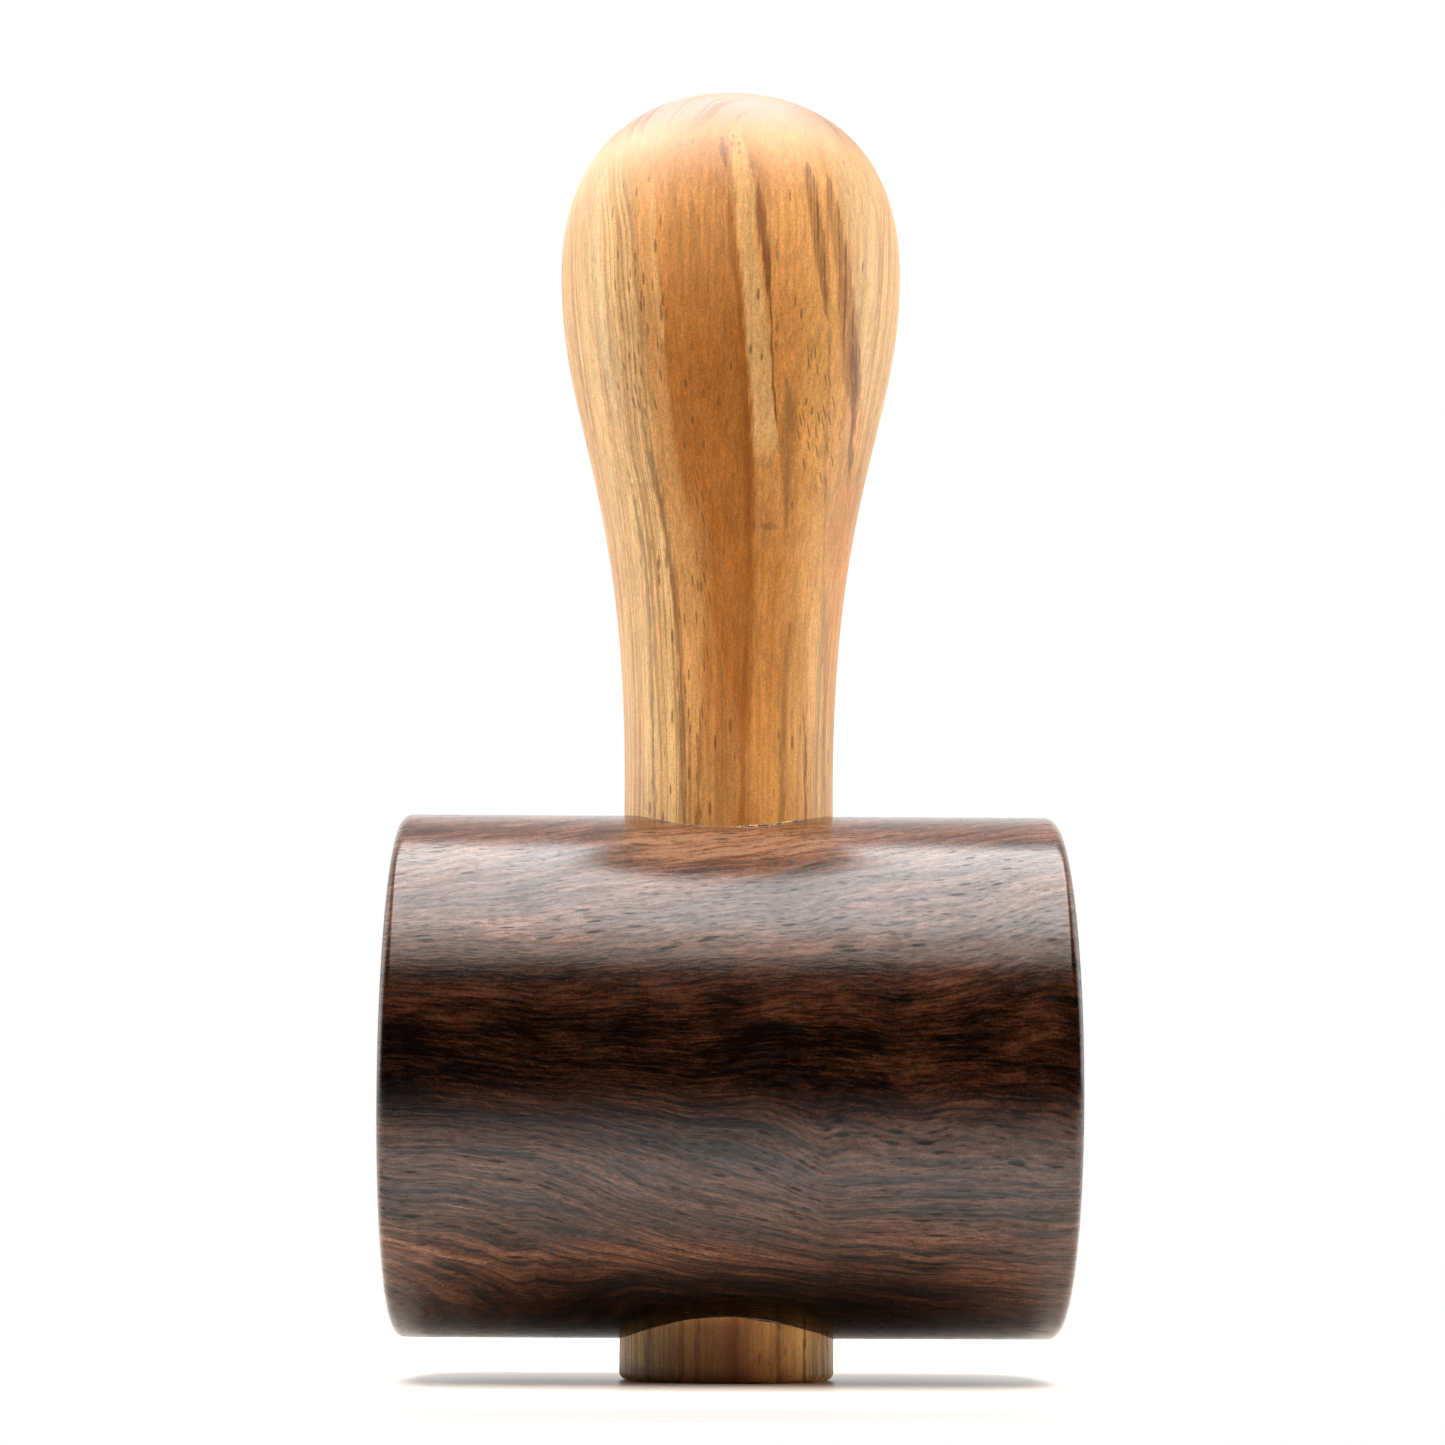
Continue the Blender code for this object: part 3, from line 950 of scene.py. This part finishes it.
def head_figure(tree, at):
    """Growth bands, fine lines and fibres. A belt across the front is curly, the rest straight."""
    curly = tree.product(tree.step(at.z, 37.0, 43.0), tree.step(at.z, 71.0, 64.0), at.front)
    long_bands = tree.noise(at.arcs, (0.035, 0.060, 0.42), detail=4.0, roughness=0.65)
    short_bands = tree.noise(at.arcs, (0.075, 0.075, 0.38), detail=4.0, roughness=0.65)
    straight = tree.noise(at.arcs, (0.12, 0.12, 1.6), detail=4.0, roughness=0.7)
    curls = tree.noise(at.arcs, (0.22, 0.15, 1.5), detail=4.0, roughness=0.7, distortion=0.3)
    bands = tree.mix_value(curly, long_bands, short_bands)
    lines = tree.mix_value(curly, straight, curls)
    fibres = tree.noise(at.grain, (0.50, 3.2, 3.2), detail=3.0, roughness=0.7)
    return bands, lines, fibres


def head_tone(tree, at, bands, lines, fibres):
    """How pale the wood is, from 0 to 1, with painted light and shade in places on the front."""
    figure = tree.noise(at.arcs, (0.030, 0.030, 0.13), detail=3.0, roughness=0.6)
    long_lines = tree.noise(at.arcs, (0.016, 0.060, 0.50), detail=2.0, roughness=0.6)
    sweeps = tree.noise(at.arcs, (0.013, 0.050, 0.62), detail=2.0, roughness=0.5)
    sweeps = tree.step(tree.away(sweeps, 0.48), 0.040, 0.012)
    speckle = tree.noise(at.where, (2.2, 3.2, 3.2), detail=2.0, roughness=0.6)
    tone = tree.sum(
        tree.spread(figure, 0.20, -0.13, 0.13),
        tree.spread(bands, 0.18, -0.13, 0.13),
        tree.spread(lines, 0.16, -0.125, 0.125),
        tree.spread(fibres, 0.16, -0.09, 0.09),
        tree.spread(speckle, 0.18, -0.08, 0.08),
        tree.product(tree.step(tree.away(long_lines, 0.5), 0.030, 0.005), -0.16),
        tree.product(sweeps, tree.step(at.z, 44.0, 34.0, 0.3, 1.0), -0.30),
        # Painted shade low down, painted light at the top edge, and the wood's dark belt
        tree.product(tree.curve(at.z, HEAD_TONE_AND_PAINTED_LIGHT, 2.0), tree.step(at.front, 0.0, 1.0, 0.6, 1.0)),
        0.44,
    )
    loose = tree.sum(at.z, tree.affine(bands, 8.0, -4.0))
    return tree.patches(tone, at.x, loose, at.front, HEAD_TONE_AND_LIGHT_PATCHES)


def head_pores(tree, grain):
    """1 in dashes along the grain, long ones in groups and short ones all over, else 0."""
    groups = tree.step(tree.noise(grain, (0.04, 0.14, 0.14), detail=1.0), 0.36, 0.56)
    long_dash = tree.product(tree.dashes(grain, (0.17, 0.95, 0.95), 0.30, 0.6), groups)
    short_dash = tree.dashes(grain, (0.42, 2.0, 2.0), 0.34, 0.60)
    return tree.math("MAXIMUM", long_dash, tree.product(short_dash, 0.7))


def head_shine(tree, at, lines, fibres, pores):
    """How strongly the polish reflects: less in the pores, and low down in the middle."""
    shine = tree.sum(
        tree.spread(lines, 0.16, 0.40, 0.58),
        tree.spread(fibres, 0.16, -0.07, 0.07),
        tree.product(pores, -0.18),
    )
    outer = tree.step(tree.math("ABSOLUTE", at.x), 22.0, 42.0)
    low = tree.mix_value(outer, 0.30, 0.85)
    return tree.product(shine, tree.step(at.z, 9.0, 22.0, low, 1.0))


def rosewood():
    """The head: a dark, oily, figured wood whose grain runs along X."""
    tree = new_material("rosewood")
    at = head_place(tree)
    bands, lines, fibres = head_figure(tree, at)
    pores = head_pores(tree, at.grain)
    stops = [(0.02, BLACKISH), (0.30, UMBER), (0.56, RUSSET), (0.80, TAWNY), (1.0, SANDY)]
    colour = tree.ramp(head_tone(tree, at, bands, lines, fibres), stops)
    colour = tree.mix(tree.product(pores, 0.9), colour, BLACKISH)
    shine = head_shine(tree, at, lines, fibres, pores)
    tree.feed(tree.shader.inputs["Specular IOR Level"], shine)
    roughness = tree.sum(tree.affine(fibres, 0.08, 0.15), tree.product(pores, 0.15))
    figure = tree.sum(tree.product(lines, 0.5), tree.product(fibres, 0.5))
    relief = tree.sum(figure, tree.product(pores, -0.12))
    return tree.finish(colour, roughness, relief, 0.00005, 0.5)


# ---------------------------------------------------------------- the wedge's wood, and glue

GLUE_BROWN = (0.030, 0.013, 0.006)
# Amber is the glue's own colour where it is clear, and a painted glint at the front right
GLUE_AMBER_AND_GLINT = (0.88, 0.55, 0.15)


def slip_wood():
    """The wedge: the same dark wood, with its grain running up the taper."""
    tree = new_material("slip_wood")
    where = tree.place()
    bands = tree.noise(where, (0.35, 1.0, 0.03), detail=3.0, roughness=0.6)
    lines = tree.noise(where, (2.0, 2.4, 0.10), detail=3.0, roughness=0.65)
    tone = tree.sum(tree.spread(bands, 0.20, -0.2, 0.2), tree.spread(lines, 0.16, -0.25, 0.25), 0.45)
    colour = tree.ramp(tone, [(0.05, BLACKISH), (0.45, UMBER), (0.9, RUSSET)])
    pores = tree.dashes(where, (1.8, 1.8, 0.3), 0.32, 0.6)
    colour = tree.mix(tree.product(pores, 0.9), colour, BLACKISH)
    relief = tree.sum(tree.product(lines, 0.6), tree.product(pores, -0.5))
    return tree.finish(colour, tree.affine(lines, 0.2, 0.38), relief, 0.00006, 0.7)


def dried_glue():
    """Brown where it soaked up dust and stain, with specks of clear amber, and painted glints of
    pale amber at the front right of the upper joint.
    """
    tree = new_material("dried_glue")
    where = tree.place()
    x, y, z = tree.split(where)
    blobs = tree.noise(where, (0.9, 0.9, 0.9), detail=3.0, roughness=0.6)
    crumbs = tree.noise(where, (5.0, 5.0, 5.0))
    # Painted glints at the front right of the upper joint
    painted_glint_place = tree.product(
        tree.step(x, -1.0, 2.0),
        tree.step(x, 10.5, 7.0),
        tree.step(y, -6.0, -10.0),
        tree.step(z, 50.0, 60.0),
    )
    share = tree.sum(tree.product(painted_glint_place, 0.8), 0.15)
    clear = tree.product(tree.step(blobs, 0.44, 0.54), share)
    colour = tree.mix(clear, GLUE_BROWN, GLUE_AMBER_AND_GLINT)
    colour = tree.shade(colour, tree.spread(crumbs, 0.20, 0.75, 1.15))
    tree.shader.inputs["Coat Weight"].default_value = 0.3
    tree.shader.inputs["Coat Roughness"].default_value = 0.15
    relief = tree.sum(blobs, tree.product(crumbs, 0.4))
    return tree.finish(colour, tree.affine(crumbs, 0.3, 0.10), relief, 0.00006, 0.8)


# ---------------------------------------------------------------- studio

# The camera that took the photograph, in metres, degrees and millimetres
CAMERA_PLACE = (-0.00615, -0.4863, 0.01766)
CAMERA_PITCH = 9.48
CAMERA_YAW = -0.65
CAMERA_ROLL = -0.25
CAMERA_LENS = 80.07
CAMERA_SENSOR = 36.0

WHITE = (1.0, 1.0, 1.0)
PEACH = (1.0, 0.82, 0.72)

# The sheet on the floor: its edges, and its colours: white away from the mallet, and a warm painted
# shade under it
SHEET_SIDE = 0.7
SHEET_FRONT = -0.124
SHEET_BACK = 0.5
SHEET_HEIGHT = -0.00002
SHEET_WHITE = (0.95, 0.94, 0.92)
SHEET_PAINTED_WARM_SHADE = (0.95, 0.86, 0.76)

# How bright the white room is on the camera's side and behind the mallet, and how much
# brighter it is near the horizon
ROOM_FRONT = 0.01
ROOM_BACK = 0.7
HORIZON_GLOW = 0.8

# Area lights: name, place, target, size, power, colour
LIGHTS = (
    ("top_softbox", (0.0, -0.045, 0.68), (0.0, -0.045, 0.0), (0.80, 0.65), 12.6, WHITE),
    ("top_front_flap", (0.0, -0.49, 0.68), (0.0, -0.49, 0.0), (0.80, 0.24), 2.9, PEACH),
    ("left_wall", (-0.65, 0.15, 0.34), (0.0, 0.15, 0.34), (0.5, 0.6), 2.0, WHITE),
    ("floor_bounce", (0.0, -0.170, -0.001), (0.0, -0.170, 0.5), (1.4, 0.09), 0.12, WHITE),
    ("right_wall", (0.65, 0.15, 0.34), (0.0, 0.15, 0.34), (0.5, 0.6), 2.0, WHITE),
)


def make_camera():
    data = bpy.data.cameras.new("camera")
    data.lens = CAMERA_LENS
    data.sensor_width = CAMERA_SENSOR
    data.clip_start = 0.01
    data.clip_end = 20.0
    camera = new_object("camera", data)
    camera.location = CAMERA_PLACE
    angles = (90.0 + CAMERA_PITCH, CAMERA_ROLL, CAMERA_YAW)
    camera.rotation_euler = [math.radians(angle) for angle in angles]
    bpy.context.scene.camera = camera


def make_light(name, place, target, size, power, colour):
    data = bpy.data.lights.new(name, "AREA")
    data.shape = "RECTANGLE"
    data.size, data.size_y = size
    data.energy = power
    data.color = colour
    light = new_object(name, data)
    light.location = place
    light.rotation_euler = (Vector(target) - Vector(place)).to_track_quat("-Z", "Y").to_euler()
    light.visible_camera = False


def white_acrylic():
    """White, with a warm painted shade right under the mallet, and painted shade that greys the
    sheet towards its front edge.
    """
    tree = new_material("white_acrylic")
    _, y, _ = tree.split(tree.place())
    # Painted warm shade under the mallet
    painted_warm_shade = tree.product(tree.step(y, -55.0, -38.0), tree.step(y, 80.0, 50.0))
    colour = tree.mix(painted_warm_shade, SHEET_WHITE, SHEET_PAINTED_WARM_SHADE)
    # Painted shade towards the sheet's front edge
    colour = tree.grey(colour, tree.step(y, -102.0, -64.0, 0.52, 1.0))
    tree.feed(tree.shader.inputs["Base Color"], colour)
    tree.shader.inputs["Roughness"].default_value = 0.35
    return tree.material


def make_floor():
    """A white sheet. The mallet stands on it."""
    mesh = bpy.data.meshes.new("floor")
    corners = [
        (-SHEET_SIDE, SHEET_FRONT, SHEET_HEIGHT),
        (SHEET_SIDE, SHEET_FRONT, SHEET_HEIGHT),
        (SHEET_SIDE, SHEET_BACK, SHEET_HEIGHT),
        (-SHEET_SIDE, SHEET_BACK, SHEET_HEIGHT),
    ]
    mesh.from_pydata(corners, [], [(0, 1, 2, 3)])
    floor = new_object("floor", mesh)
    mesh.materials.append(white_acrylic())


def make_world():
    """White to look at. As a light it is a white room, dark on the camera's side."""
    world = bpy.data.worlds.new("studio")
    bpy.context.scene.world = world
    tree = Tree(world)
    tree.tree.nodes.clear()
    _, y, z = tree.split(tree.node("ShaderNodeTexCoord").outputs["Generated"])
    room = tree.step(y, -0.35, 0.55, ROOM_FRONT, ROOM_BACK)
    glow = tree.step(z, 0.80, 0.40, 1.0, 1.0 + HORIZON_GLOW)
    white = (*WHITE, 1.0)
    seen = tree.node_out("ShaderNodeBackground", white, 1.0)[0]
    lit = tree.node_out("ShaderNodeBackground", white, tree.product(room, glow))[0]
    to_camera = tree.node("ShaderNodeLightPath").outputs["Is Camera Ray"]
    surface = tree.node_out("ShaderNodeMixShader", to_camera, lit, seen)[0]
    output = tree.node("ShaderNodeOutputWorld")
    tree.feed(output.inputs["Surface"], surface)


def make_studio():
    bpy.context.scene.view_settings.view_transform = "Standard"
    make_camera()
    make_floor()
    make_world()
    for light in LIGHTS:
        make_light(*light)


# ---------------------------------------------------------------- assembly


def place_piece(piece, node, material):
    piece.data.materials.clear()
    piece.data.materials.append(material)
    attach(piece, BODY)
    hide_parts(node)


def main():
    make_studio()
    place_piece(make_head(), "head", rosewood())
    place_piece(make_handle(), "handle", fruitwood())
    place_piece(make_wedge(), "wedge", slip_wood())
    glue = dried_glue()
    for name, side in (("upper_glue_line", 1), ("lower_glue_line", -1)):
        bead = make_glue(name, side)
        bead.data.materials.append(glue)
        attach(bead, BODY)


main()
